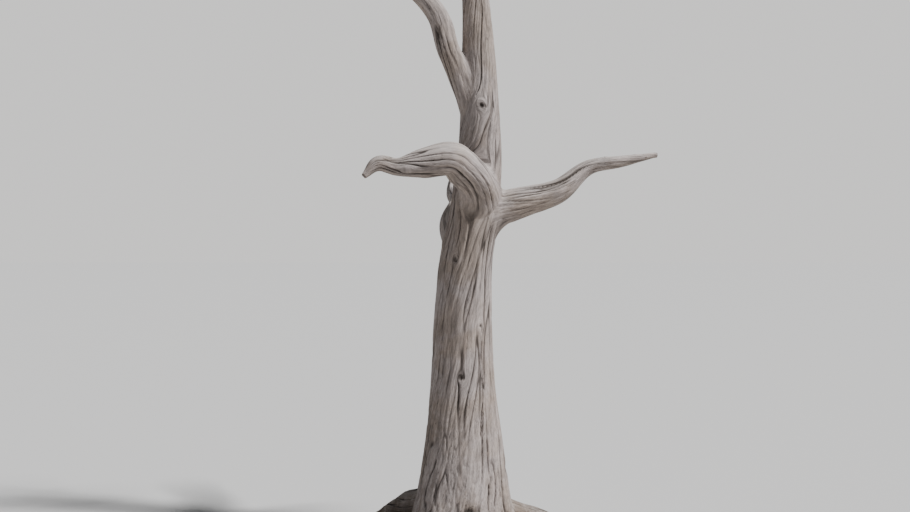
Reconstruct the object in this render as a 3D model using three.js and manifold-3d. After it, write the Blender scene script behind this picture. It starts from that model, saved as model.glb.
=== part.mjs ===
import * as THREE from 'three';
import { mergeVertices } from 'three/addons/utils/BufferGeometryUtils.js';
import Module from 'manifold-3d';

// A bare dead tree: a stout crooked trunk with a root flare, surface roots and tapering boughs.
// Millimetres, +Z up, +X to the right seen from the front, +Y away from the front.
// The origin is the middle of the flat cut at ground level, and nothing lies below it.

// Headings are compass headings in degrees: 0 is away, 90 right, 180 front and 270 left.

const gap = 0.3; // kept between two touching pieces
const mergeWithin = 0.001; // points this near each other are one

// The trunk, from the ground to its tip: the middle and the width at each height.
const trunkSides = 26;
const trunkRingsPerStation = 4;
const trunkStations = [
  { z: 0, x: 0, y: 0, width: 1020 },
  { z: 220, x: 0, y: 0, width: 930 },
  { z: 520, x: -5, y: 0, width: 845 },
  { z: 1000, x: -5, y: 5, width: 755 },
  { z: 1600, x: -10, y: 20, width: 640 },
  { z: 2250, x: -5, y: 10, width: 575 },
  { z: 2800, x: 30, y: -20, width: 535 },
  { z: 3300, x: 125, y: -40, width: 495 },
  { z: 3900, x: 175, y: -20, width: 430 },
  { z: 4600, x: 170, y: 20, width: 355 },
  { z: 5300, x: 135, y: 40, width: 280 },
  { z: 5950, x: 80, y: 10, width: 215 },
  { z: 6600, x: 125, y: -60, width: 150 },
  { z: 7150, x: 200, y: -70, width: 95 },
  { z: 7600, x: 190, y: -10, width: 36 },
];
const fluteDepth = 0.035; // share of the radius
const fluteCount = 3;
const fluteTwist = 0.0004; // radians each millimetre up, the spiral of the grain
const flareFade = 380; // height over which the root swellings die out
const flareSwell = 200; // how far a root swells the trunk at the ground
const flareSpread = 0.33; // half-width of a swelling, in radians

// A limb is a walk of straight legs, rounded where they meet. Each leg has a length, a compass
// heading and a rise above level. The girths are its thicknesses at its start and leg ends.
const boughSides = 12;
const boughRingsPerLeg = 5;
const boughs = [
  {
    name: 'bough_right',
    start: { x: 130, y: -10, z: 3120 },
    girths: [440, 350, 245, 150, 118, 50],
    legs: [
      { length: 324, heading: 92, rise: 35 },
      { length: 594, heading: 86, rise: 18 },
      { length: 395, heading: 78, rise: 38 },
      { length: 325, heading: 84, rise: 11 },
      { length: 440, heading: 74, rise: 11 },
    ],
  },
  {
    name: 'bough_front_left',
    start: { x: 165, y: -60, z: 3275 },
    girths: [400, 350, 335, 275, 155, 152, 44],
    legs: [
      { length: 280, heading: 201, rise: 31 },
      { length: 437, heading: 208, rise: 48 },
      { length: 341, heading: 262, rise: -6 },
      { length: 258, heading: 259, rise: -8 },
      { length: 160, heading: 268, rise: 13 },
      { length: 204, heading: 246, rise: -42 },
    ],
  },
  {
    name: 'bough_back',
    start: { x: 42, y: 20, z: 2920 },
    girths: [380, 310, 235, 165, 115, 42],
    legs: [
      { length: 360, heading: 330, rise: 42 },
      { length: 420, heading: 12, rise: 36 },
      { length: 460, heading: 350, rise: 18 },
      { length: 380, heading: 14, rise: 52 },
      { length: 400, heading: 2, rise: 20 },
    ],
  },
  {
    name: 'bough_upper_left',
    start: { x: 165, y: 10, z: 4410 },
    girths: [255, 240, 232, 218, 162, 110, 38],
    legs: [
      { length: 260, heading: 250, rise: 52 },
      { length: 290, heading: 262, rise: 58 },
      { length: 400, heading: 258, rise: 71 },
      { length: 430, heading: 262, rise: 44 },
      { length: 380, heading: 250, rise: 24 },
      { length: 400, heading: 258, rise: 46 },
    ],
  },
  {
    name: 'bough_top_right',
    start: { x: 95, y: 20, z: 5620 },
    girths: [195, 165, 124, 88, 34],
    legs: [
      { length: 230, heading: 80, rise: 46 },
      { length: 400, heading: 66, rise: 24 },
      { length: 400, heading: 80, rise: 34 },
      { length: 380, heading: 62, rise: 12 },
    ],
  },
  {
    name: 'bough_top_back',
    start: { x: 88, y: 0, z: 6060 },
    girths: [155, 124, 88, 32],
    legs: [
      { length: 320, heading: 336, rise: 40 },
      { length: 360, heading: 354, rise: 16 },
      { length: 340, heading: 334, rise: 38 },
    ],
  },
  {
    name: 'bough_top_front',
    start: { x: 125, y: -60, z: 6540 },
    girths: [118, 92, 64, 28],
    legs: [
      { length: 260, heading: 206, rise: 38 },
      { length: 300, heading: 188, rise: 20 },
      { length: 270, heading: 208, rise: 44 },
    ],
  },
];
const ribDepth = 0.05; // of the ribs that run along a limb, as a share of its radius
const ribCount = 3;

// A surface root leaves the flare, runs out along the ground and dives under it. It sways to one
// side by degrees, and its girth and its height above the ground change from joint to joint.
const rootSides = 12;
const rootRingsPerLeg = 4;
const rootStart = 300; // from the trunk's middle to the root's first joint
const rootLegs = 4;
const rootGirthShares = [1, 0.9, 0.66, 0.46, 0.28];
const rootHeightShares = [1, 0.72, 0.38, 0.08, -0.5];
const rootSwayShares = [0, 0.5, 1, 0.2];
const roots = [
  { name: 'root_back_right', heading: 38, reach: 1200, thickness: 400, height: 215, sway: 24 },
  { name: 'root_right', heading: 108, reach: 1130, thickness: 330, height: 120, sway: -26 },
  { name: 'root_front', heading: 163, reach: 1260, thickness: 370, height: 150, sway: 30 },
  { name: 'root_front_left', heading: 215, reach: 1150, thickness: 350, height: 140, sway: -24 },
  { name: 'root_left', heading: 266, reach: 1000, thickness: 300, height: 110, sway: 26 },
  { name: 'root_back_left', heading: 316, reach: 1290, thickness: 470, height: 310, sway: 14 },
];

const soilSide = 6000; // of the block that cuts the roots off at ground level
const wood = { trunk: 0x9a8f8a, bough: 0x958a84, root: 0x8c8079 };
const woodRoughness = 0.92;

const wasm = await Module();
wasm.setup();

function radians(degrees) {
  return THREE.MathUtils.degToRad(degrees);
}

// Unit vector of a compass heading and a rise.
function towards(heading, rise) {
  const level = Math.cos(radians(rise));
  return new THREE.Vector3(
    level * Math.sin(radians(heading)),
    level * Math.cos(radians(heading)),
    Math.sin(radians(rise)),
  );
}

// Smooth value at t, from 0 to 1, along a row of evenly spaced values.
function smoothAlong(values, t) {
  const last = values.length - 1;
  const at = Math.min(Math.floor(t * last), last - 1);
  const f = t * last - at;
  const a = values[Math.max(at - 1, 0)];
  const b = values[at];
  const c = values[at + 1];
  const d = values[Math.min(at + 2, last)];
  return b + 0.5 * f * (c - a + f * (2 * a - 5 * b + 4 * c - d + f * (3 * (b - c) + d - a)));
}

// A closed solid through rings that all have the same number of points.
function loft(rings) {
  const sides = rings[0].length;
  const points = rings.flat();
  const faces = [];
  for (let row = 0; row < rings.length - 1; row++) {
    for (let side = 0; side < sides; side++) {
      const next = (side + 1) % sides;
      const a = row * sides + side;
      const b = row * sides + next;
      faces.push(a, b, b + sides);
      faces.push(a, b + sides, a + sides);
    }
  }
  for (const [row, turn] of [[0, 1], [rings.length - 1, 0]]) {
    const middle = new THREE.Vector3();
    rings[row].forEach((p) => middle.addScaledVector(p, 1 / sides));
    points.push(middle);
    for (let side = 0; side < sides; side++) {
      const ends = [row * sides + side, row * sides + (side + 1) % sides];
      faces.push(ends[turn], ends[1 - turn], points.length - 1);
    }
  }
  const geometry = new THREE.BufferGeometry().setFromPoints(points);
  geometry.setIndex(faces);
  return geometry;
}

function toSolid(geometry) {
  const merged = geometry.clone();
  merged.deleteAttribute('normal');
  merged.deleteAttribute('uv');
  const closed = mergeVertices(merged, mergeWithin);
  return new wasm.Manifold(new wasm.Mesh({
    numProp: 3,
    vertProperties: new Float32Array(closed.attributes.position.array),
    triVerts: new Uint32Array(closed.index.array),
  }));
}

function toGeometry(solid) {
  const mesh = solid.getMesh();
  const geometry = new THREE.BufferGeometry();
  geometry.setAttribute('position', new THREE.BufferAttribute(new Float32Array(mesh.vertProperties), 3));
  geometry.setIndex(new THREE.BufferAttribute(new Uint32Array(mesh.triVerts), 1));
  return geometry;
}

// How far the roots swell the trunk outwards at a heading and a height.
function flareAt(angle, z) {
  let swell = 0;
  for (const root of roots) {
    const off = Math.atan2(Math.sin(angle - radians(root.heading)), Math.cos(angle - radians(root.heading)));
    const size = root.thickness / roots[0].thickness;
    swell += size * Math.exp(-((off / flareSpread) ** 2));
  }
  return swell * flareSwell * Math.exp(-z / flareFade);
}

// The trunk as horizontal rings, all its surface pushed out by grow.
function trunkRings(grow) {
  const column = (key) => trunkStations.map((station) => station[key]);
  const rings = [];
  const count = (trunkStations.length - 1) * trunkRingsPerStation;
  for (let i = 0; i <= count; i++) {
    const t = i / count;
    const middle = new THREE.Vector3(...['x', 'y', 'z'].map((key) => smoothAlong(column(key), t)));
    const radius = smoothAlong(column('width'), t) / 2;
    const ring = [];
    for (let side = 0; side < trunkSides; side++) {
      const angle = -2 * Math.PI * side / trunkSides;
      const flute = 1 + fluteDepth * Math.cos(fluteCount * (angle + fluteTwist * middle.z));
      const out = radius * flute + flareAt(angle, middle.z) + grow;
      ring.push(towards(THREE.MathUtils.radToDeg(angle), 0).multiplyScalar(out).add(middle));
    }
    rings.push(ring);
  }
  return rings;
}

// Rings square to a path of joints, with the girth at each joint, all pushed out by grow.
function limbRings(joints, girths, sides, ringsPerLeg, grow) {
  const path = new THREE.CatmullRomCurve3(joints, false, 'centripetal');
  const count = (joints.length - 1) * ringsPerLeg;
  const across = new THREE.Vector3(0, 0, 1);
  const rings = [];
  for (let i = 0; i <= count; i++) {
    const t = i / count;
    const along = path.getTangent(t);
    across.addScaledVector(along, -across.dot(along)).normalize();
    const third = new THREE.Vector3().crossVectors(along, across);
    const radius = smoothAlong(girths, t) / 2;
    const ring = [];
    for (let side = 0; side < sides; side++) {
      const angle = 2 * Math.PI * side / sides;
      const out = radius * (1 + ribDepth * Math.cos(ribCount * angle + t * Math.PI)) + grow;
      ring.push(path.getPoint(t)
        .addScaledVector(across, out * Math.cos(angle))
        .addScaledVector(third, out * Math.sin(angle)));
    }
    rings.push(ring);
  }
  return rings;
}

function boughSolid(bough, grow) {
  const joints = [new THREE.Vector3(bough.start.x, bough.start.y, bough.start.z)];
  for (const leg of bough.legs) {
    joints.push(joints.at(-1).clone().addScaledVector(towards(leg.heading, leg.rise), leg.length));
  }
  return toSolid(loft(limbRings(joints, bough.girths, boughSides, boughRingsPerLeg, grow)));
}

function rootSolid(root, grow) {
  const legLength = root.reach / rootLegs;
  const joints = [towards(root.heading, 0).multiplyScalar(rootStart).setZ(root.height)];
  for (let leg = 0; leg < rootLegs; leg++) {
    const way = towards(root.heading + root.sway * rootSwayShares[leg], 0);
    const next = joints.at(-1).clone().addScaledVector(way, legLength);
    joints.push(next.setZ(root.height * rootHeightShares[leg + 1]));
  }
  const girths = rootGirthShares.map((share) => share * root.thickness);
  return toSolid(loft(limbRings(joints, girths, rootSides, rootRingsPerLeg, grow)));
}

// Everything below the ground, as a block to cut away.
function underground() {
  const block = new THREE.BoxGeometry(soilSide, soilSide, soilSide);
  block.translate(0, 0, -soilSide / 2);
  return toSolid(block);
}

const tree = new THREE.Group();

function addPiece(name, geometry, color) {
  const material = new THREE.MeshStandardMaterial({ color, roughness: woodRoughness, metalness: 0 });
  const mesh = new THREE.Mesh(geometry, material);
  mesh.name = name;
  tree.add(mesh);
}

// Limbs in order: each is cut back from the trunk and from those before it.
function addLimbs(limbs, limbSolid, below, color) {
  const taken = [toSolid(loft(trunkRings(gap))), ...below];
  for (const limb of limbs) {
    const solid = taken.reduce((left, other) => left.subtract(other), limbSolid(limb, 0));
    addPiece(limb.name, toGeometry(solid), color);
    taken.push(limbSolid(limb, gap));
  }
}

addPiece('trunk', loft(trunkRings(0)), wood.trunk);
addLimbs(boughs, boughSolid, [], wood.bough);
addLimbs(roots, rootSolid, [underground()], wood.root);

export default tree;
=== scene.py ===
import math

import bpy
import numpy as np
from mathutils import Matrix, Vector
from mathutils.bvhtree import BVHTree


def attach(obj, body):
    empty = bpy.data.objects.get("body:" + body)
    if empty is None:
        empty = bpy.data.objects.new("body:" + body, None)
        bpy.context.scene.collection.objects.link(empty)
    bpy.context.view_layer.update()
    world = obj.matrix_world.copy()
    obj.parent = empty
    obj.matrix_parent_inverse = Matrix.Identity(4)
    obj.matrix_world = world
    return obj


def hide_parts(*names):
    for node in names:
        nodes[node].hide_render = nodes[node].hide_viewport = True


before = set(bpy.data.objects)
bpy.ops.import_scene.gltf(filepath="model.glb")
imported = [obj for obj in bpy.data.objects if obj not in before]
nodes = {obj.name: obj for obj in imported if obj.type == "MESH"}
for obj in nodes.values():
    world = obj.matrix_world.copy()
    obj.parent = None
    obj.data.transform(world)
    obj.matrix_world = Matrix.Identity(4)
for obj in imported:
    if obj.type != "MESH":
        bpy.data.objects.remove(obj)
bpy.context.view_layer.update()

fullTurn = 2 * math.pi

noiseCells = 256
noiseGain = 1.6
noiseSeeds = range(41, 49)


def makeNoise(seed):  # smooth gradient noise over space, from about -1 to 1
    dice = np.random.default_rng(seed)
    order = np.tile(dice.permutation(noiseCells), 2)
    slopes = dice.normal(size=(noiseCells, 3))
    slopes /= np.linalg.norm(slopes, axis=1, keepdims=True)

    def noise(x, y, z):
        places = [np.asarray(v, float) for v in np.broadcast_arrays(x, y, z)]
        cells = [np.floor(v).astype(int) for v in places]
        parts = [v - c for v, c in zip(places, cells)]
        fades = [p * p * p * (p * (p * 6 - 15) + 10) for p in parts]
        total = 0
        for corner in range(8):
            steps = (corner & 1, corner >> 1 & 1, corner >> 2 & 1)
            pick = 0
            for cell, step in zip(cells, steps):
                pick = order[pick + ((cell + step) & (noiseCells - 1))]
            value = sum(slopes[pick, k] * (parts[k] - steps[k]) for k in range(3))
            for fade, step in zip(fades, steps):
                value = value * (fade if step else 1 - fade)
            total = total + value
        return total * noiseGain

    return noise


def smoothStep(low, high, value):
    t = np.clip((value - low) / (high - low), 0, 1)
    return t * t * (3 - 2 * t)


def unit(vectors):
    return vectors / np.maximum(np.linalg.norm(vectors, axis=-1, keepdims=True), 1e-12)


def wrapAngle(angle):  # into -half turn to half turn
    return (angle + math.pi) % fullTurn - math.pi


def softened(rows, width):  # a running blur along the first axis, ends held
    reach = int(3 * width) + 1
    weights = np.exp(-0.5 * (np.arange(-reach, reach + 1) / width) ** 2)
    weights /= weights.sum()
    padded = np.concatenate([np.repeat(rows[:1], reach, 0), rows, np.repeat(rows[-1:], reach, 0)])
    return sum(w * padded[i:i + len(rows)] for i, w in enumerate(weights))


def roundOut(radii, count):  # the same closed outline with more angles, smooth between the old ones
    waves = np.fft.rfft(radii, axis=-1)
    return np.fft.irfft(waves, count, axis=-1) * (count / radii.shape[-1])


def fromTable(table, row, angle):  # a value between the rows and angles of a table
    rows, count = table.shape
    row = np.clip(row, 0, rows - 1.0001)
    low = row.astype(int)
    side = (angle % fullTurn) / fullTurn * count
    left = side.astype(int)
    f, g = row - low, side - left
    left, right = left % count, (left + 1) % count
    near = table[low, left] * (1 - g) + table[low, right] * g
    far = table[low + 1, left] * (1 - g) + table[low + 1, right] * g
    return near * (1 - f) + far * f


def alongTable(table, row):  # a point or vector between the rows of a table
    row = np.clip(row, 0, len(table) - 1.0001)
    low = row.astype(int)
    f = (row - low)[..., None]
    return table[low] * (1 - f) + table[low + 1] * f


def nodeShape(name):
    mesh = nodes[name].data
    points = np.empty(len(mesh.vertices) * 3)
    mesh.vertices.foreach_get("co", points)
    corners = np.empty(len(mesh.loops), np.int32)
    mesh.loops.foreach_get("vertex_index", corners)
    return points.reshape(-1, 3), corners.reshape(-1, 3)


def sliceMiddle(points, faces, at, along, reach):  # a slice square to along: its middle, girth and edge
    height = (points - at) @ along
    tall = height[faces]
    cut = faces[(tall.min(1) < 0) & (tall.max(1) >= 0)]
    spots, crosses = [], []
    for a, b in ((0, 1), (1, 2), (2, 0)):
        p, q = cut[:, a], cut[:, b]
        share = height[p] / np.where(height[p] == height[q], 1, height[p] - height[q])
        spots.append(points[p] + share[:, None] * (points[q] - points[p]))
        crosses.append((height[p] < 0) != (height[q] < 0))
    ends = np.stack(spots, 1)[np.stack(crosses, 1)].reshape(-1, 2, 3)
    middles = ends.mean(1)
    lengths = np.linalg.norm(ends[:, 0] - ends[:, 1], axis=1)
    near = np.linalg.norm(middles - at, axis=1) < reach
    if lengths[near].sum() == 0:
        return None
    middle = (middles[near] * lengths[near, None]).sum(0) / lengths[near].sum()
    return middle, lengths[near].sum(), middles[near]


def raysOut(tree, middle, ways, reach):  # how far the solid's skin is, each way from its middle
    far = []
    for way in ways:
        hit = tree.ray_cast(Vector(middle), Vector(way), reach)
        far.append(hit[3] if hit[0] else np.nan)
    far = np.array(far)
    return np.where(np.isnan(far), np.nanmean(far), far)


trunkRead = {
    "rowStep": 0.05,     # between the heights where it is measured
    "rays": 26,          # sent out at each height
    "rayReach": 1.5,
    "sliceReach": 3,
    "angles": 208,       # kept in the table, between those of the rays
    "endGap": 0.002,     # the lowest and highest slices are this far in
    "middleBlur": 1.0,
    "radiusBlur": 0.8,
    "probe": 0.006,      # each way, to find the skin's slope
}
upWay = np.array([0.0, 0.0, 1.0])


def readTrunk():
    points, faces = nodeShape("trunk")
    tree = BVHTree.FromPolygons(points.tolist(), faces.tolist())
    top = points[:, 2].max()
    heights = np.arange(0, top, trunkRead["rowStep"])
    angles = np.arange(trunkRead["rays"]) * fullTurn / trunkRead["rays"]
    ways = np.stack([np.cos(angles), np.sin(angles), 0 * angles], 1)
    middles, radii = [], []
    for z in np.clip(heights, trunkRead["endGap"], top - trunkRead["endGap"]):
        at = middles[-1] if middles else np.zeros(3)
        at = np.array([at[0], at[1], z])
        middle = sliceMiddle(points, faces, at, upWay, trunkRead["sliceReach"])[0]
        middles.append(middle)
        radii.append(raysOut(tree, middle, ways, trunkRead["rayReach"]))
    middles = softened(np.array(middles), trunkRead["middleBlur"])
    middles[:, 2] = heights
    table = roundOut(softened(np.array(radii), trunkRead["radiusBlur"]), trunkRead["angles"])
    return {"middles": middles, "radii": table, "top": top, "step": trunkRead["rowStep"]}


trunk = readTrunk()
print("trunk read, height", round(trunk["top"], 2))


def trunkPolar(points):  # angle, distance from the middle, and radius, for points beside the trunk
    row = points[..., 2] / trunk["step"]
    offset = points - alongTable(trunk["middles"], row)
    angle = np.arctan2(offset[..., 1], offset[..., 0])
    return angle, np.hypot(offset[..., 0], offset[..., 1]), fromTable(trunk["radii"], row, angle)


def trunkOut(points):  # how far points stand out of the trunk's smooth skin
    distance, radius = trunkPolar(points)[1:]
    return distance - radius


def trunkNormal(points):  # square to the trunk's smooth skin, outwards
    probes = np.eye(3) * trunkRead["probe"]
    return unit(np.stack([trunkOut(points + probe) - trunkOut(points - probe) for probe in probes], -1))


limbRead = {
    "step": 0.02,           # along the middle line
    "rays": 12,             # sent out at each step
    "rayReach": 0.6,
    "angles": 144,          # kept in the table, between those of the rays
    "leastRadius": 0.004,
    "tipReach": 0.2,        # the points this near the tip show which way it runs
    "tipFewest": 5,
    "tipGap": 0.004,
    "firstReach": 0.12,     # how far round a slice reaches, at the tip and further on
    "leastReach": 0.1,
    "reachShare": 1.35,
    "reachSpare": 0.01,
    "turns": 4,             # tries at setting a slice square to the limb
    "turnShare": 0.6,
    "touch": 0.006,         # the slices stop this near the trunk
    "blur": 2.5,
    "headingRows": 6,
    "steer": 0.09,          # how fast it turns to the trunk's middle, inside the trunk
    "pinchBefore": 0.15,    # it is slimmer inside the trunk, up to this far from the trunk's skin
    "pinchLeast": 0.25,
    "pinchShortest": 0.08,
}


def readLimb(name):
    points, faces = nodeShape(name)
    tree = BVHTree.FromPolygons(points.tolist(), faces.tolist())
    distance = trunkPolar(points)[1]
    tip = points[np.argmax(distance)]
    base = points[np.argmin(distance)]
    near = points[np.linalg.norm(points - tip, axis=1) < limbRead["tipReach"]]
    along = unit(near.mean(0) - tip) if len(near) >= limbRead["tipFewest"] else unit(base - tip)
    spine = [tip + along * limbRead["tipGap"]]
    reach = limbRead["firstReach"]
    while True:
        at = spine[-1] + along * limbRead["step"]
        for _ in range(limbRead["turns"]):  # the slice is turned until it is square to the limb
            found = sliceMiddle(points, faces, at, along, reach)
            if found is None:
                break
            along = unit(along + limbRead["turnShare"] * unit(found[0] - spine[-1]))
            at = spine[-1] + along * limbRead["step"]
        if found is None or trunkOut(found[2]).min() < limbRead["touch"]:
            break
        spine.append(found[0])
        girthRadius = found[1] / fullTurn
        reach = max(limbRead["leastReach"], girthRadius * limbRead["reachShare"] + limbRead["reachSpare"])
    spine = softened(np.array(spine[::-1]), limbRead["blur"])
    inward = unit(spine[0] - spine[limbRead["headingRows"]])
    inside = []
    at = spine[0]
    while True:  # on into the trunk, turning towards its middle
        towards = unit((alongTable(trunk["middles"], at[2:] / trunk["step"])[0] - at)[:2])
        inward[:2] += limbRead["steer"] * (towards * np.hypot(*inward[:2]) - inward[:2])
        inward = unit(inward)
        nextAt = at + inward * limbRead["step"]
        if trunkPolar(nextAt)[1] > trunkPolar(at)[1]:
            break
        inside.append(nextAt)
        at = nextAt
    spine = np.concatenate([np.array(inside[::-1]).reshape(-1, 3), spine])
    ways = unit(np.gradient(softened(spine, limbRead["blur"]), axis=0))
    across = np.empty_like(ways)
    across[0] = unit(upWay - ways[0] * (ways[0] @ upWay))
    for i in range(1, len(ways)):
        across[i] = unit(across[i - 1] - ways[i] * (ways[i] @ across[i - 1]))
    third = np.cross(ways, across)
    angles = np.arange(limbRead["rays"]) * fullTurn / limbRead["rays"]
    radii = []
    for i in range(len(inside), len(spine)):
        rays = np.cos(angles)[:, None] * across[i] + np.sin(angles)[:, None] * third[i]
        radii.append(raysOut(tree, spine[i], rays, limbRead["rayReach"]))
    radii = softened(np.array(radii), limbRead["blur"])
    radii = np.concatenate([np.repeat(radii[:1], len(inside), 0), radii])
    crossing = np.argmax(trunkOut(spine) > 0) * limbRead["step"]
    places = np.arange(len(spine)) * limbRead["step"]
    pinchEnd = max(crossing - limbRead["pinchBefore"], limbRead["pinchShortest"])
    pinch = limbRead["pinchLeast"] + (1 - limbRead["pinchLeast"]) * smoothStep(0, pinchEnd, places)
    radii = np.maximum(roundOut(radii, limbRead["angles"]), limbRead["leastRadius"])
    return {
        "name": name, "spine": spine, "ways": ways, "across": across, "third": third,
        "radii": radii, "pinch": pinch, "inside": len(inside),
        "step": limbRead["step"], "length": (len(spine) - 1) * limbRead["step"],
    }


def limbPoint(limb, along, angle, extra=0.0):  # on a limb's smooth skin, or extra beyond it
    row = along / limb["step"]
    pinch = np.interp(row, np.arange(len(limb["pinch"])), limb["pinch"])  # slimmer inside the trunk
    out = (fromTable(limb["radii"], row, angle) + extra) * pinch
    way = (np.cos(angle)[..., None] * alongTable(limb["across"], row)
           + np.sin(angle)[..., None] * alongTable(limb["third"], row))
    return alongTable(limb["spine"], row) + out[..., None] * way


boughNames = [name for name in sorted(nodes) if name.startswith("bough_")]
rootNames = [name for name in sorted(nodes) if name.startswith("root_")]
limbs = {name: readLimb(name) for name in boughNames + rootNames}
for name, limb in limbs.items():
    print(name, "read, length", round(limb["length"], 2))


relief = {
    "fullSize": 0.30,                 # radius at which the furrows have their full width
    "sizeRange": (0.34, 1.1),         # their width on the slimmest and the stoutest wood
    "lobes": (0.24, 1.5, 0.040),      # width, length, height as a share of the radius
    "ribs": (0.060, 0.75, 0.0050),    # width, length, height
    "furrows": (0.088, 1.15, 0.0125, 0.11),   # width, length, depth, narrowness
    "furrowGate": (0.3, 0.8, 0.25),   # width and length of smoother places, and what is left there
    "gateSpan": (-0.35, 0.45),
    "checks": (0.036, 0.50, 0.0042, 0.14),
    "fibres": (0.015, 0.26, 0.0012),
    "wander": (0.25, 0.55, 0.022),
    "raise": 0.003,                   # the whole skin, so that the furrows don't thin it
    "grainReach": 0.38,               # swellings shorter than this don't break the grain
    "grainStretch": 9,                # the painted grain is this much longer than wide
}
knotShape = {
    "largest": 0.27,     # as a share of the limb's radius
    "flow": 1.7,         # how much longer than wide the parting of the grain is
    "oval": 1.35,
    "lean": 0.35,
    "swell": (1.7, 0.34),     # width and height, in knot sizes
    "dip": (0.42, 0.42),
    "rings": (15, 0.022),     # how close they lie, and their height
    "ringFade": (1.3, 0.8),
    "rim": (0.75, 0.12),      # where the dark rim lies, and its width
}
crackShape = {"width": 0.0075, "depth": 0.026, "sharpness": 1.6}
darkness = {  # painted shade and dirt in each kind of hollow; the knot's rim is its own dark tone
    "furrow": 0.75, "check": 0.30, "crack": 1.15, "knotDip": 0.95, "knotRim": 0.22,
}
growth = {  # the spans that the dice draw from, and how they are used
    "firstSeed": 3,
    "seedStep": 7,
    "knotPlace": (0.10, 0.92),
    "knotSize": (0.5, 1.25),
    "knotHollow": (0.1, 0.9),
    "crackPlace": (0.0, 0.95),
    "crackLength": (0.35, 1.3),
    "crackWidth": (0.55, 1.2),
    "crackDepth": (0.5, 1.0),
    "fullLength": 2.5,        # limbs shorter than this have shorter cracks
    "shortestCrack": 0.15,
    "shift": 5.37,            # along the noises, so that no two limbs are alike
    "slimmestTurn": 0.03,     # limbs slimmer than this wind no faster
}
grainOf = {  # slope: how the grain winds round; knotSize: before the dice
    "trunk": {"slope": 0.13, "knotCount": 13, "crackCount": 26, "knotSize": 0.052},
    "bough": {"slope": 0.10, "knotCount": 3, "crackCount": 7, "knotSize": 0.030},
    "root": {"slope": 0.10, "knotCount": 1, "crackCount": 7, "knotSize": 0.030},
}
lobeNoise, ribNoise, furrowNoise, gateNoise, checkNoise, fibreNoise, wanderNoise, edgeNoise = [
    makeNoise(seed) for seed in noiseSeeds]


def meanRadius(limb):
    return limb["radii"].mean(1)


def giveGrain(limb, number, slope, knotCount, crackCount, knotSize):  # how the grain, knots and cracks lie
    dice = np.random.default_rng(number * growth["seedStep"] + growth["firstSeed"])
    radius = meanRadius(limb)
    limb["turn"] = np.cumsum(slope * limb["step"] / np.maximum(radius, growth["slimmestTurn"]))
    limb["shift"] = growth["shift"] * number
    limb["grainRadius"] = softened(radius, relief["grainReach"] / limb["step"])
    start, length = limb.get("inside", 0) * limb["step"], (len(radius) - 1) * limb["step"]
    reach = length - start
    limb["knots"] = [
        {"along": start + reach * dice.uniform(*growth["knotPlace"]),
         "around": dice.uniform(0, fullTurn),
         "size": knotSize * dice.uniform(*growth["knotSize"]),
         "hollow": dice.uniform(*growth["knotHollow"])}
        for _ in range(knotCount)]
    for knot in limb["knots"]:  # smaller where the limb is slimmer
        radiusHere = np.interp(knot["along"], np.arange(len(radius)) * limb["step"], radius)
        knot["size"] = min(knot["size"], knotShape["largest"] * radiusHere)
    shortness = min(1, reach / growth["fullLength"])
    limb["cracks"] = [
        {"along": start + reach * dice.uniform(*growth["crackPlace"]),
         "across": dice.uniform(0, fullTurn),
         "length": dice.uniform(*growth["crackLength"]) * shortness + growth["shortestCrack"],
         "width": dice.uniform(*growth["crackWidth"]),
         "depth": dice.uniform(*growth["crackDepth"])}
        for _ in range(crackCount)]


def knotRelief(knot, sideways, upways, apart):  # height and darkness of one knot
    lean = knotShape["lean"] * sideways * upways / (apart + knot["size"] ** 2)
    ring = np.sqrt(sideways ** 2 + (upways / knotShape["oval"]) ** 2) / knot["size"] + lean
    width, height = knotShape["swell"]
    swell = np.exp(-(ring / width) ** 2) * height
    width, depth = knotShape["dip"]
    dip = np.exp(-(ring / width) ** 2) * knot["hollow"]
    closeness, ringHeight = knotShape["rings"]
    rings = np.cos(ring * closeness) * ringHeight * smoothStep(*knotShape["ringFade"], ring)
    place, width = knotShape["rim"]
    rim = np.exp(-((ring - place) / width) ** 2)
    # painted shade in the knot's hollow, and the knot's own dark rim
    dark = dip * darkness["knotDip"] + rim * darkness["knotRim"]
    return knot["size"] * (swell - depth * dip + rings), dark


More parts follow.
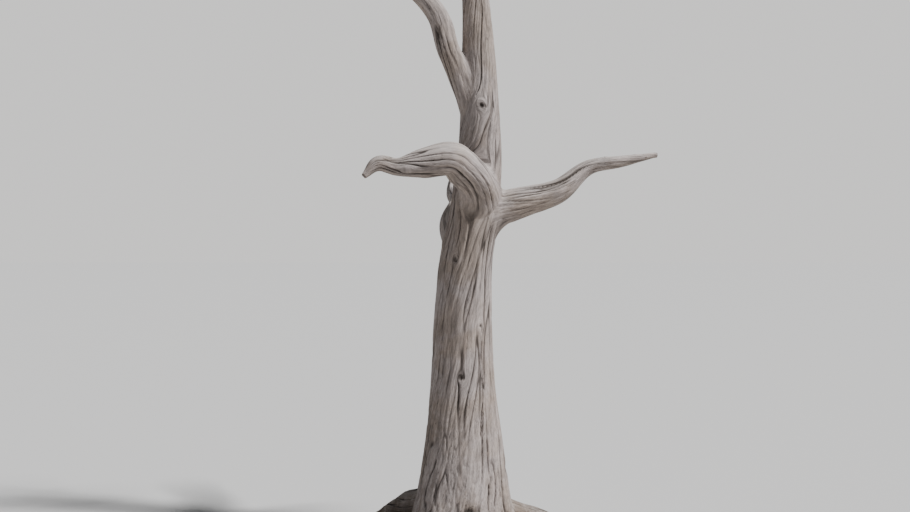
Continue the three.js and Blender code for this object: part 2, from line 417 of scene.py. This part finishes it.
def woodRelief(limb, along, around):  # height of the relief, the painted shade and dirt in its hollows, and the grain's own place
    row = along / limb["step"]
    radius = np.interp(row, np.arange(len(limb["radii"])), meanRadius(limb))
    size = np.clip(np.sqrt(radius / relief["fullSize"]), *relief["sizeRange"])
    cosine, sine = np.cos(around) * radius, np.sin(around) * radius
    width, length, swing = relief["wander"]
    wander = wanderNoise(cosine / width, sine / width, along / length + limb["shift"]) * swing * size
    across = around + wander / radius - np.interp(row, np.arange(len(limb["turn"])), limb["turn"])
    knotHeight, knotDepth = 0, 0
    for knot in limb["knots"] + limb.get("limbFeet", []):  # the grain parts and flows round each
        sideways = radius * wrapAngle(around - knot["around"])
        upways = along - knot["along"]
        apart = sideways ** 2 + (upways / knotShape["flow"]) ** 2
        across = across - sideways / radius * knot["size"] ** 2 / np.maximum(apart, knot["size"] ** 2)
        if "hollow" in knot:
            height, dark = knotRelief(knot, sideways, upways, apart)
            knotHeight = knotHeight + height
            knotDepth = knotDepth + dark
    girth = np.interp(row, np.arange(len(limb["grainRadius"])), limb["grainRadius"])
    x, y, z = np.cos(across) * girth, np.sin(across) * girth, along + limb["shift"]

    def grainNoise(noise, width, length):
        return noise(x / width / size, y / width / size, z / length)

    width, length, height = relief["lobes"]
    total = lobeNoise(cosine / width, sine / width, z / length) * height * radius
    width, length, height = relief["ribs"]
    total = total + grainNoise(ribNoise, width, length) * height * size
    width, length, least = relief["furrowGate"]
    gateHere = smoothStep(*relief["gateSpan"], gateNoise(cosine / width, sine / width, z / length))
    width, length, height, narrow = relief["furrows"]
    furrow = np.exp(-(grainNoise(furrowNoise, width, length) / narrow) ** 2)
    furrow = furrow * (least + (1 - least) * gateHere)
    total = total - furrow * height * size
    width, length, height, narrow = relief["checks"]
    check = np.exp(-(grainNoise(checkNoise, width, length) / narrow) ** 2)
    total = total - check * height * size
    width, length, height = relief["fibres"]
    total = total + grainNoise(fibreNoise, width, length) * height * size
    cracked = 0
    for crack in limb["cracks"]:
        halfWidth = crackShape["width"] * size * crack["width"]
        offset = radius * wrapAngle(across - crack["across"]) / halfWidth
        taper = np.clip(1 - ((along - crack["along"]) / crack["length"] * 2) ** 2, 0, 1)
        profile = np.exp(-np.abs(offset) ** crackShape["sharpness"])
        cracked = np.maximum(cracked, profile * np.sqrt(taper) * crack["depth"])
    total = total - cracked * crackShape["depth"] * size + knotHeight + relief["raise"] * size
    # painted shade and dirt in the furrows, checks and cracks, by their depth
    lines = darkness["furrow"] * furrow + darkness["check"] * check + darkness["crack"] * cracked
    grain = np.stack([x, y, z / relief["grainStretch"]], -1)
    return total, np.clip(lines + knotDepth, 0, 1), grain


skinFinish = {
    "smoothBelow": 75,      # degrees: edges that bend less are shaded smooth
    "weld": 0.00001,        # points nearer than this are made one
    "thinnest": 0.000001,   # edges shorter than this are dissolved
}


def addSkin(name, points, marks):  # points in rows along the limb, the last column over the first
    rows, columns = points.shape[0] - 1, points.shape[1] - 1
    bpy.ops.object.select_all(action="DESELECT")
    bpy.ops.mesh.primitive_grid_add(x_subdivisions=columns, y_subdivisions=rows, size=2, calc_uvs=True)
    skin = bpy.context.object
    skin.name = name
    mesh = skin.data
    mesh.name = name
    flat = np.empty(len(mesh.vertices) * 3)
    mesh.vertices.foreach_get("co", flat)
    flat = flat.reshape(-1, 3)
    column = np.rint((flat[:, 0] + 1) / 2 * columns).astype(int)
    row = np.rint((flat[:, 1] + 1) / 2 * rows).astype(int)
    mesh.vertices.foreach_set("co", points[row, column].ravel())
    for label, values in marks.items():  # what the wood's material reads
        kind, entry = ("FLOAT_VECTOR", "vector") if values.ndim == 3 else ("FLOAT", "value")
        mark = mesh.attributes.new(label, kind, "POINT")
        mark.data.foreach_set(entry, values[row, column].ravel())
    mesh.uv_layers[0].name = "OFBake"
    mesh.update()
    bpy.ops.object.mode_set(mode="EDIT")
    bpy.ops.mesh.select_all(action="SELECT")
    bpy.ops.mesh.remove_doubles(threshold=skinFinish["weld"])
    bpy.ops.mesh.dissolve_degenerate(threshold=skinFinish["thinnest"])
    bpy.ops.object.mode_set(mode="OBJECT")
    bpy.ops.object.shade_smooth_by_angle(angle=math.radians(skinFinish["smoothBelow"]))
    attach(skin, "root")
    return skin


def gridNormals(points):  # outward, for rows that run along and columns that run round
    inner = points[:, :-1]
    roundWay = np.roll(inner, -1, 1) - np.roll(inner, 1, 1)
    alongWay = np.gradient(inner, axis=0)
    normals = unit(np.cross(roundWay, alongWay))
    return np.concatenate([normals, normals[:, :1]], 1)


def closeRound(values):  # the last column gets the first one's values, so that the seam shuts
    values[:, -1] = values[:, 0]
    return values


trunkSkin = {
    "pieces": ("trunkFoot", "trunkWaist", "trunkShoulder", "trunkTop"),
    "columns": 320,
    "rows": 225,          # of each piece
    "sink": 0.0006,       # of the hidden row with which a piece runs on under the next
    "tipGap": 0.02,
    "tipRows": (0.93, 0.72, 0.38),    # the splintered end's rings, as shares of the last row
    "tipNoise": 90,
    "tipShift": 3,
    "tipRagged": 0.014,
    "tipRise": 0.012,
    "tipEnd": 0.008,
}


def trunkSurface(heights, columns):  # the smooth skin at these heights
    angles = np.linspace(0, fullTurn, columns + 1)
    z, angle = np.broadcast_arrays(heights[:, None], angles[None, :])
    row = z / trunk["step"]
    radius = fromTable(trunk["radii"], row, angle)
    points = alongTable(trunk["middles"], row).copy()
    points[..., 0] += radius * np.cos(angle)
    points[..., 1] += radius * np.sin(angle)
    points[..., 2] = z
    return points, z, angle


def withEnds(values, ends):  # the first row once more, and the last one for each ring of the end
    return closeRound(np.concatenate([values[:1], values] + [values[-1:]] * ends))


def onGround(points):
    points[..., 2] = np.maximum(points[..., 2], 0)
    return points


def trunkTip(lastRow, middle):  # a splintered end: its rings and its middle
    rings = []
    for share in trunkSkin["tipRows"]:
        ring = middle + (lastRow - middle) * share
        x, y = (ring[:, :2] * trunkSkin["tipNoise"]).T
        ragged = edgeNoise(x, y, share * trunkSkin["tipShift"])
        ring[:, 2] = lastRow[:, 2] + ragged * trunkSkin["tipRagged"] + trunkSkin["tipRise"] * (1 - share)
        rings.append(closeRound(ring[None])[0])
    return rings, middle + upWay * trunkSkin["tipEnd"]


def makeTrunk():
    top = trunk["top"] - trunkSkin["tipGap"]
    count = len(trunkSkin["pieces"])
    cell = top / count / trunkSkin["rows"]
    for number, name in enumerate(trunkSkin["pieces"]):
        first, last = number == 0, number == count - 1
        rows = np.arange(0 if first else -1, trunkSkin["rows"] + (1 if last else 2))
        heights = np.clip(number * top / count + rows * cell, 0, top)
        spare = np.concatenate([heights[:1] - cell, heights, heights[-1:] + cell])
        points, z, angle = trunkSurface(spare, trunkSkin["columns"])
        normals = gridNormals(points)[1:-1]
        points, z, angle = points[1:-1], z[1:-1], angle[1:-1]
        height, depth, grain = woodRelief(trunk, z, angle)
        if not first:
            height[0] -= trunkSkin["sink"]
        if not last:
            height[-1] -= trunkSkin["sink"]
        points = closeRound(onGround(points + normals * height[..., None]))
        if first:
            points[0, :, 2] = 0
        foot = alongTable(trunk["middles"], heights[:1] / trunk["step"])[0]
        middle = alongTable(trunk["middles"], heights[-1:] / trunk["step"])[0]
        ends = []
        if last:
            ends, middle = trunkTip(points[-1], middle)
        ends.append(np.broadcast_to(middle, points[-1].shape))
        points = np.concatenate([np.broadcast_to(foot, points[:1].shape), points, np.array(ends)])
        marks = {"grain": withEnds(grain, len(ends)), "depth": withEnds(depth, len(ends))}
        skin = addSkin(name, points, marks)
        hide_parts("trunk")
        yield skin


limbSkin = {
    "cell": 0.0078,            # the size of a face
    "fewestColumns": 64,
    "mostColumns": 164,
    "fewestFootRows": 8,
    "sinkRow": (0.020, 0.024),    # the hidden first row: its depth, and how far it is past the fillet
    "lipRow": (0.0008, 0.010),    # the row after it, just under the trunk's skin
    "footBlend": 1.5,          # how fast the limb's own relief takes over from the trunk's
    "scanShare": 0.75,         # the foot is looked for along this share of the limb, or this far out
    "scanBeyond": 1.1,
    "scanSteps": 70,
    "halvings": 14,
    "medianReach": 3,          # columns each way, against jumps in the foot's edge
    "meanReach": 2,
    "tipFade": (0.12, 0.15),   # the relief fades this far before the tip, down to this share
    "tipRows": (0.86, 0.62, 0.30),    # the splintered end's rings, as shares of the last row
    "tipNoise": 110,
    "tipShift": 3,
    "tipRagged": 0.012,
    "tipRise": 0.010,
    "tipEnd": 0.006,
}


def settled(places):  # without the jumps from column to column, which run round and shut
    inner = places[:, :-1]
    for reach, middleOf in ((limbSkin["medianReach"], np.median), (limbSkin["meanReach"], np.mean)):
        inner = middleOf([np.roll(inner, shift, 1) for shift in range(-reach, reach + 1)], 0)
    return np.concatenate([inner, inner[:, :1]], 1)


def footPlace(limb, fillets, angles):  # where each column leaves the fillet, and the fillet's rows
    count = max(limbSkin["fewestFootRows"], int(fillets.max() * math.pi / 2 / limbSkin["cell"]))
    bend = np.linspace(0, math.pi / 2, count)
    hidden = (limbSkin["sinkRow"], limbSkin["lipRow"])
    under = [np.full_like(fillets, -sink) for sink, spare in hidden]
    target = np.concatenate([under, fillets * (1 - np.cos(bend))[:, None]])
    wide = [fillets + spare for sink, spare in hidden]
    extra = np.concatenate([wide, fillets * (1 - np.sin(bend))[:, None]])
    angle = np.broadcast_to(angles, target.shape)
    insideLength = limb["inside"] * limb["step"]
    farthest = min(limb["length"] * limbSkin["scanShare"], insideLength + limbSkin["scanBeyond"])
    low = np.zeros(target.shape)
    for place in np.linspace(0, farthest, limbSkin["scanSteps"]):  # the last place that is too far in
        short = trunkOut(limbPoint(limb, np.full(target.shape, place), angle, extra)) < target
        low = np.where(short, place, low)
    high = low + farthest / (limbSkin["scanSteps"] - 1)
    for _ in range(limbSkin["halvings"]):
        half = (low + high) / 2
        short = trunkOut(limbPoint(limb, half, angle, extra)) < target
        low, high = np.where(short, half, low), np.where(short, high, half)
    blend = np.concatenate([[0, 0], np.sin(bend) ** limbSkin["footBlend"]])
    return settled((low + high) / 2), extra, blend


def limbTip(limb, lastRow):  # a splintered end: its rings and its middle
    tip, way = limb["spine"][-1], limb["ways"][-1]
    out = lastRow - tip
    rows = []
    for share in limbSkin["tipRows"]:
        x, y, z = (out * limbSkin["tipNoise"]).T
        ragged = edgeNoise(x, y, z + share * limbSkin["tipShift"])
        rise = ragged * limbSkin["tipRagged"] + limbSkin["tipRise"] * (1 - share)
        rows.append(closeRound((tip + out * share + way * rise[:, None])[None])[0])
    rows.append(np.broadcast_to(tip + way * limbSkin["tipEnd"], out.shape))
    return rows


def makeLimb(limb, fillet, droop):
    inside = limb["inside"]
    across = meanRadius(limb)[inside:].max() * fullTurn / limbSkin["cell"]
    columns = int(np.clip(across, limbSkin["fewestColumns"], limbSkin["mostColumns"]))
    angles = np.linspace(0, fullTurn, columns + 1)
    downward = -np.cos(angles) * limb["across"][inside, 2] - np.sin(angles) * limb["third"][inside, 2]
    fillets = fillet * (1 + droop * smoothStep(0, 1, downward))
    along, extra, blend = footPlace(limb, fillets, angles)
    start, end = along[-1], limb["length"]
    rows = int((end - start.min()) / limbSkin["cell"])
    share = np.linspace(0, 1, rows + 1)[1:, None]
    along = np.concatenate([along, start + (end - start) * share])
    extra = np.concatenate([extra, np.zeros((rows, columns + 1))])
    blend = np.concatenate([blend, np.ones(rows)])[:, None]
    angle = np.broadcast_to(angles, along.shape)
    points = limbPoint(limb, along, angle, extra)
    normals = gridNormals(points)
    height, depth, grain = woodRelief(limb, along, angle)
    foot = blend[:, 0] < 1  # these rows carry some of the trunk's own relief, along the trunk's normal
    trunkAngle = trunkPolar(points[foot])[0]
    level = np.clip(points[foot][..., 2], 0, trunk["top"])
    trunkHeight, trunkDepth, trunkGrain = woodRelief(trunk, level, trunkAngle)
    trunkWay = trunkNormal(points[foot])
    hostGrain = np.zeros_like(grain)
    hostGrain[foot] = trunkGrain
    merge = np.broadcast_to(1 - blend, depth.shape)
    depth[foot] = depth[foot] * blend[foot] + trunkDepth * (1 - blend[foot])
    fadeLength, least = limbSkin["tipFade"]
    nearTip = np.clip((end - along) / fadeLength, least, 1)
    points = points + normals * (height * blend * nearTip)[..., None]
    points[foot] += trunkWay * (trunkHeight * (1 - blend[foot]))[..., None]
    points = closeRound(points)
    ends = limbTip(limb, points[-1])
    inner = np.broadcast_to(limb["spine"][inside // 2], points[:1].shape)
    points = onGround(np.concatenate([inner, points, np.array(ends)]))
    marks = {"grain": grain, "depth": depth, "hostGrain": hostGrain, "merge": merge}
    marks = {label: withEnds(values, len(ends)) for label, values in marks.items()}
    skin = addSkin(limb["name"] + "_skin", points, marks)
    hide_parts(limb["name"])
    return skin


footSize = {"bough": 1.05, "root": 0.7}  # how widely the trunk's grain parts round a limb's foot
trunk["limbFeet"] = []
for number, (name, limb) in enumerate(limbs.items()):
    kind = name.split("_")[0]
    giveGrain(limb, number + 2, **grainOf[kind])
    crossing = np.argmax(trunkOut(limb["spine"]) > 0)
    place = limb["spine"][crossing]
    size = meanRadius(limb)[crossing] * footSize[kind]
    trunk["limbFeet"].append({"along": place[2], "around": trunkPolar(place)[0], "size": size})
giveGrain(trunk, 1, **grainOf["trunk"])

silverPieces = []
for skin in makeTrunk():
    silverPieces.append(skin)
    print(skin.name, len(skin.data.polygons), "faces")
rootPieces = []
filletShare = {"bough": 0.42, "root": 0.75}  # of the limb's radius
filletDroop = {"bough": 1.0, "root": 0.0}  # how much wider it is beneath the limb
for name, limb in limbs.items():
    kind = name.split("_")[0]
    fillet = filletShare[kind] * meanRadius(limb)[limb["inside"]]
    skin = makeLimb(limb, fillet, filletDroop[kind])
    (silverPieces if kind == "bough" else rootPieces).append(skin)
    print(skin.name, len(skin.data.polygons), "faces, fillet", round(fillet, 3))


# What both kinds of wood are painted with. A noise has a scale, detail, roughness and distortion,
# and a span has the values read and what they become.
woodFinish = {
    "patch": {"noise": (1.7, 5.0, 0.62, 0.4), "span": (0.40, 0.64)},    # tan and silver, over the object
    "stain": {"noise": (9.0, 4.0, 0.6, 0.3), "span": (0.50, 0.74)},     # long and brown, along the grain
    "streak": {"noise": (34.0, 4.0, 0.62), "span": (0.30, 0.70, 0.68, 1.16)},
    "fibre": {"noise": (150.0, 5.0, 0.68), "span": (0.32, 0.64, 0.72, 1.12)},
    "roughSpan": (0.30, 0.70, 0.96, 0.80),    # the roughness, from the fibres
    "hairNoise": (58.0, 1.0, 0.4),            # hairline cracks, painted as dark lines of shade
    "hairStretch": 0.3,
    "hairSpan": (0.0, 0.022, 1.0, 0.0),
    "hairGate": {"noise": (11.0, 2.0), "span": (0.44, 0.60)},
    "pinScale": 26.0,                         # beetle holes, painted dark with their shade
    "pinSpan": (0.055, 0.085, 1.0, 0.0),
    "pinGate": {"noise": (2.6, 2.0), "span": (0.54, 0.66)},
    # the furrows' painted shade and dirt
    "furrowSpan": (0.10, 0.95),
    "footSpan": (0.0, 0.55, 1.0, 0.0),        # how far up the damp of the ground stains the wood
    "footEdge": {"noise": (6.0, 5.0, 0.65), "span": (0.30, 0.62)},
    "litSpan": (0.05, 0.85),                  # sun-bleached and with a painted highlight, on the upper sides
    # the tone of the sun bleaching and painted highlight
    "bleachAndHighlightTone": (0.30, 0.285, 0.27, 1),
    "shadeSpan": (-0.85, -0.05, 0.55, 0.0),   # painted shade on the undersides, in tan, which is also the less bleached wood's own tone
    "patchShare": 0.75,
    "stainShare": 0.55,
    "furrowShare": 0.93,
    "hairShare": 0.62,
    "pinShare": 0.9,
    "streakHeight": 0.55,                     # heights for the bump, where the fibres have 1
    "hairDepth": 0.60,
    "pinDepth": 1.2,
}


def addNode(tree, kind, spot, **settings):
    node = tree.nodes.new("ShaderNode" + kind)
    node.location = (spot[0] * 200, spot[1] * -190)
    for key, value in settings.items():
        setattr(node, key, value)
    return node


def feed(tree, node, values):  # each input gets a fixed value or a link
    for key, value in values.items():
        if isinstance(value, bpy.types.NodeSocket):
            tree.links.new(value, node.inputs[key])
        else:
            node.inputs[key].default_value = value


def addNoise(tree, spot, place, scale, detail=2.0, roughness=0.5, distortion=0.0):
    node = addNode(tree, "TexNoise", spot)
    feed(tree, node, {"Vector": place, "Scale": scale, "Detail": detail, "Roughness": roughness,
                      "Distortion": distortion})
    return node.outputs["Fac"]


def addRange(tree, spot, value, fromLow, fromHigh, toLow=0.0, toHigh=1.0):
    node = addNode(tree, "MapRange", spot, interpolation_type="SMOOTHSTEP")
    feed(tree, node, {"Value": value, "From Min": fromLow, "From Max": fromHigh})
    feed(tree, node, {"To Min": toLow, "To Max": toHigh})
    return node.outputs["Result"]


def addMask(tree, row, place, look):  # a noise and the mask that its span makes of it
    noise = addNoise(tree, (1, row), place, *look["noise"])
    return noise, addRange(tree, (2, row), noise, *look["span"])


def addSum(tree, spot, operation, *values):
    node = addNode(tree, "Math", spot, operation=operation)
    feed(tree, node, dict(enumerate(values)))
    return node.outputs[0]


def addMix(tree, spot, mode, share, first, second):
    node = addNode(tree, "Mix", spot, data_type="RGBA", blend_type=mode)
    factor, *others = [socket for socket in node.inputs if socket.enabled]
    for socket, value in zip([factor] + others, (share, first, second)):
        if isinstance(value, bpy.types.NodeSocket):
            tree.links.new(value, socket)
        else:
            socket.default_value = value
    return next(socket for socket in node.outputs if socket.enabled)


groupInputs = {
    "Grain": "Vector", "Place": "Vector",
    "Depth": "Float", "Up": "Float", "Height Over Ground": "Float",
    # the last tone is for the painted shade and dirt in the hollows
    "Silver": "Color", "Tan": "Color", "Brown": "Color", "HollowDirtAndShade": "Color",
    # how strong the sun bleaching and painted highlight on the upper sides are, and the ground's damp stain
    "BleachAndHighlight": "Float", "Damp": "Float",
}
groupOutputs = {"Color": "Color", "Roughness": "Float", "Height": "Float"}


def weatheredGrain():  # the shared group: silvered wood, its stains, fibres, cracks and holes, with sun bleaching and a painted highlight on top, and painted shade beneath and in the hollows
    tree = bpy.data.node_groups.new("weatheredGrain", "ShaderNodeTree")
    for label, kind in groupInputs.items():
        tree.interface.new_socket(name=label, in_out="INPUT", socket_type="NodeSocket" + kind)
    for label, kind in groupOutputs.items():
        tree.interface.new_socket(name=label, in_out="OUTPUT", socket_type="NodeSocket" + kind)
    entry = tree.nodes.new("NodeGroupInput")
    entry.location = (-400, 0)
    given = entry.outputs
    grain, place, up = given["Grain"], given["Place"], given["Up"]

    patch = addMask(tree, 0, place, woodFinish["patch"])[1]
    stain = addMask(tree, 1, grain, woodFinish["stain"])[1]
    streakTone, streak = addMask(tree, 2, grain, woodFinish["streak"])
    fibreTone, fibre = addMask(tree, 3, grain, woodFinish["fibre"])

    longer = addNode(tree, "Mapping", (0, 4))
    feed(tree, longer, {"Vector": grain, "Scale": (1, 1, woodFinish["hairStretch"])})
    hairTone = addNoise(tree, (1, 4), longer.outputs["Vector"], *woodFinish["hairNoise"])
    hairAway = addSum(tree, (2, 4), "ABSOLUTE", addSum(tree, (1.5, 4.4), "SUBTRACT", hairTone, 0.5))
    hairLine = addRange(tree, (3, 4), hairAway, *woodFinish["hairSpan"])
    hair = addSum(tree, (4, 4), "MULTIPLY", hairLine, addMask(tree, 5, grain, woodFinish["hairGate"])[1])
    pinCells = addNode(tree, "TexVoronoi", (1, 6))
    feed(tree, pinCells, {"Vector": place, "Scale": woodFinish["pinScale"]})
    pinSpot = addRange(tree, (2, 6), pinCells.outputs["Distance"], *woodFinish["pinSpan"])
    pin = addSum(tree, (3, 6), "MULTIPLY", pinSpot, addMask(tree, 7, place, woodFinish["pinGate"])[1])

    # painted shade and dirt in the furrows
    furrow = addRange(tree, (3, 8), given["Depth"], *woodFinish["furrowSpan"])
    low = addRange(tree, (2, 9), given["Height Over Ground"], *woodFinish["footSpan"])
    lowWood = addSum(tree, (3, 9), "MULTIPLY", low, addMask(tree, 10, place, woodFinish["footEdge"])[1])
    damp = addSum(tree, (4, 9), "MULTIPLY", lowWood, given["Damp"])
    # sun bleaching and a painted highlight on the upper sides
    upper = addRange(tree, (2, 11), up, *woodFinish["litSpan"])
    lit = addSum(tree, (3, 11), "MULTIPLY", upper, given["BleachAndHighlight"])
    # painted shade on the undersides, which are also the wood that the sun has bleached less
    shade = addRange(tree, (2, 12), up, *woodFinish["shadeSpan"])

    layers = (  # from the silvered wood upwards: how it is laid on, where or how strongly, and with what
        ("MIX", addSum(tree, (3, 0), "MULTIPLY", patch, woodFinish["patchShare"]), given["Tan"]),
        ("MIX", addSum(tree, (3, 1), "MULTIPLY", stain, woodFinish["stainShare"]), given["Brown"]),
        # painted shade on the undersides
        ("MIX", shade, given["Tan"]),
        ("MULTIPLY", 1.0, streak),
        ("MULTIPLY", 1.0, fibre),
        # the sun bleaching and painted highlight, screened on
        ("SCREEN", lit, woodFinish["bleachAndHighlightTone"]),
        ("MIX", damp, given["Brown"]),
        # painted shade in the furrows (with dirt), hairline cracks and beetle holes
        ("MIX", addSum(tree, (10, 1), "MULTIPLY", furrow, woodFinish["furrowShare"]), given["HollowDirtAndShade"]),
        ("MIX", addSum(tree, (11, 1), "MULTIPLY", hair, woodFinish["hairShare"]), given["HollowDirtAndShade"]),
        ("MIX", addSum(tree, (12, 1), "MULTIPLY", pin, woodFinish["pinShare"]), given["HollowDirtAndShade"]),
    )
    body = given["Silver"]
    for column, (mode, share, tone) in enumerate(layers, 4):
        body = addMix(tree, (column, 0), mode, share, body, tone)

    rough = addRange(tree, (4, 3), fibreTone, *woodFinish["roughSpan"])
    streakRise = addSum(tree, (4, 2), "MULTIPLY", streakTone, woodFinish["streakHeight"])
    ridges = addSum(tree, (5, 3), "ADD", streakRise, fibreTone)
    hairCut = addSum(tree, (5, 4), "MULTIPLY", hair, woodFinish["hairDepth"])
    pinCut = addSum(tree, (5, 6), "MULTIPLY", pin, woodFinish["pinDepth"])
    height = addSum(tree, (7, 3), "SUBTRACT", ridges, addSum(tree, (6, 4), "ADD", hairCut, pinCut))
    result = tree.nodes.new("NodeGroupOutput")
    result.location = (3000, 0)
    feed(tree, result, {"Color": body, "Roughness": rough, "Height": height})
    return tree


gloss = 0.3
bumpDistance = 0.006


def woodMaterial(name, group, tones, hostTones, bumpStrength):  # at a limb's foot it fades into the trunk's
    material = bpy.data.materials.new(name)
    material.use_nodes = True
    tree = material.node_tree
    shader = tree.nodes["Principled BSDF"]
    depth = addNode(tree, "Attribute", (-9, 1), attribute_name="depth")
    merge = addNode(tree, "Attribute", (-9, 4), attribute_name="merge")
    place = addNode(tree, "TexCoord", (-9, 2))
    facing = addNode(tree, "NewGeometry", (-9, 3))
    up = addNode(tree, "SeparateXYZ", (-8, 3))
    tall = addNode(tree, "SeparateXYZ", (-8, 2))
    tree.links.new(facing.outputs["Normal"], up.inputs["Vector"])
    tree.links.new(place.outputs["Object"], tall.inputs["Vector"])
    woods = []
    for row, (label, values) in enumerate((("grain", tones), ("hostGrain", hostTones))):
        grain = addNode(tree, "Attribute", (-9, row * 5), attribute_name=label)
        wood = addNode(tree, "Group", (-6, row * 3), node_tree=group)
        feed(tree, wood, {"Grain": grain.outputs["Vector"], "Place": place.outputs["Object"],
                          "Depth": depth.outputs["Fac"], "Up": up.outputs["Z"],
                          "Height Over Ground": tall.outputs["Z"]})
        feed(tree, wood, values)
        woods.append(wood)
    share = merge.outputs["Fac"]
    colour = addMix(tree, (-4, 0), "MIX", share, woods[0].outputs["Color"], woods[1].outputs["Color"])
    values = {}
    for row, label in enumerate(("Roughness", "Height")):
        blend = addNode(tree, "Mix", (-4, row + 1), data_type="FLOAT")
        feed(tree, blend, {0: share, 2: woods[0].outputs[label], 3: woods[1].outputs[label]})
        values[label] = blend.outputs[0]
    bump = addNode(tree, "Bump", (-3, 2))
    feed(tree, bump, {"Height": values["Height"], "Strength": bumpStrength, "Distance": bumpDistance})
    feed(tree, shader, {"Base Color": colour, "Roughness": values["Roughness"]})
    feed(tree, shader, {"Normal": bump.outputs["Normal"], "Specular IOR Level": gloss})
    return material


silverTones = {
    "Silver": (0.372, 0.322, 0.306, 1),
    "Tan": (0.285, 0.228, 0.188, 1),
    "Brown": (0.150, 0.108, 0.082, 1),
    # painted shade and dirt in the hollows
    "HollowDirtAndShade": (0.026, 0.019, 0.015, 1),
    # sun bleaching and painted highlight on the upper sides
    "BleachAndHighlight": 0.55,
    "Damp": 0.85,
}
rootTones = {
    "Silver": (0.315, 0.270, 0.245, 1),
    "Tan": (0.235, 0.182, 0.145, 1),
    "Brown": (0.115, 0.082, 0.060, 1),
    # painted shade and dirt in the hollows
    "HollowDirtAndShade": (0.022, 0.016, 0.012, 1),
    # sun bleaching and painted highlight on the upper sides
    "BleachAndHighlight": 0.45,
    "Damp": 1.0,
}
bumpStrengths = {"silver": 0.55, "root": 0.60}
grainGroup = weatheredGrain()
silverWood = woodMaterial("weatheredWood", grainGroup, silverTones, silverTones, bumpStrengths["silver"])
rootWood = woodMaterial("rootWood", grainGroup, rootTones, silverTones, bumpStrengths["root"])
finished = ((silverPieces, silverWood, "weathered_wood"), (rootPieces, rootWood, "root_wood"))
for skins, material, slotName in finished:
    for skin in skins:
        skin.data.materials.append(material)
print("materials done")


studio = {
    "floorSize": 900,
    "floorGap": 0.002,     # under the tree, so that the two don't flicker
    "floorTone": (0.57, 0.566, 0.562, 1),
    "floorRoughness": 0.9,
    "skyTone": (0.84, 0.86, 0.90, 1),
    "skyStrength": 0.15,
    "backTone": (0.80, 0.79, 0.78, 1),
    "backStrength": 1.165,
    "sunStrength": 6.5,
    "sunAngle": 7,         # degrees, for soft shadows
    "sunTurn": (42, 0, 71),
}
bpy.ops.object.select_all(action="DESELECT")
bpy.ops.mesh.primitive_plane_add(size=studio["floorSize"], location=(0, 0, -studio["floorGap"]))
floor = bpy.context.object
floor.name = "floor"
paint = bpy.data.materials.new("palePaint")
paint.use_nodes = True
paintShader = paint.node_tree.nodes["Principled BSDF"]
feed(paint.node_tree, paintShader, {"Base Color": studio["floorTone"]})
feed(paint.node_tree, paintShader, {"Roughness": studio["floorRoughness"]})
floor.data.materials.append(paint)

world = bpy.data.worlds.new("studio")
world.use_nodes = True
sky = world.node_tree.nodes["Background"]
feed(world.node_tree, sky, {"Color": studio["skyTone"], "Strength": studio["skyStrength"]})
backdrop = addNode(world.node_tree, "Background", (0, 2))
feed(world.node_tree, backdrop, {"Color": studio["backTone"], "Strength": studio["backStrength"]})
seen = addNode(world.node_tree, "LightPath", (0, -2))
either = addNode(world.node_tree, "MixShader", (2, 0))  # what is seen is as pale as the floor
feed(world.node_tree, either, {0: seen.outputs["Is Camera Ray"], 1: sky.outputs[0], 2: backdrop.outputs[0]})
feed(world.node_tree, world.node_tree.nodes["World Output"], {"Surface": either.outputs[0]})
bpy.context.scene.world = world
bpy.ops.object.light_add(type="SUN", rotation=[math.radians(v) for v in studio["sunTurn"]])
sun = bpy.context.object
sun.name = "keyLight"
sun.data.energy = studio["sunStrength"]
sun.data.angle = math.radians(studio["sunAngle"])

shot = {"place": (-0.08, -10.5, 2.84), "turn": (90, 0, 0), "lens": 41.5}
bpy.ops.object.camera_add(location=shot["place"], rotation=[math.radians(v) for v in shot["turn"]])
camera = bpy.context.object
camera.data.lens = shot["lens"]
bpy.context.scene.camera = camera

print("scene done")
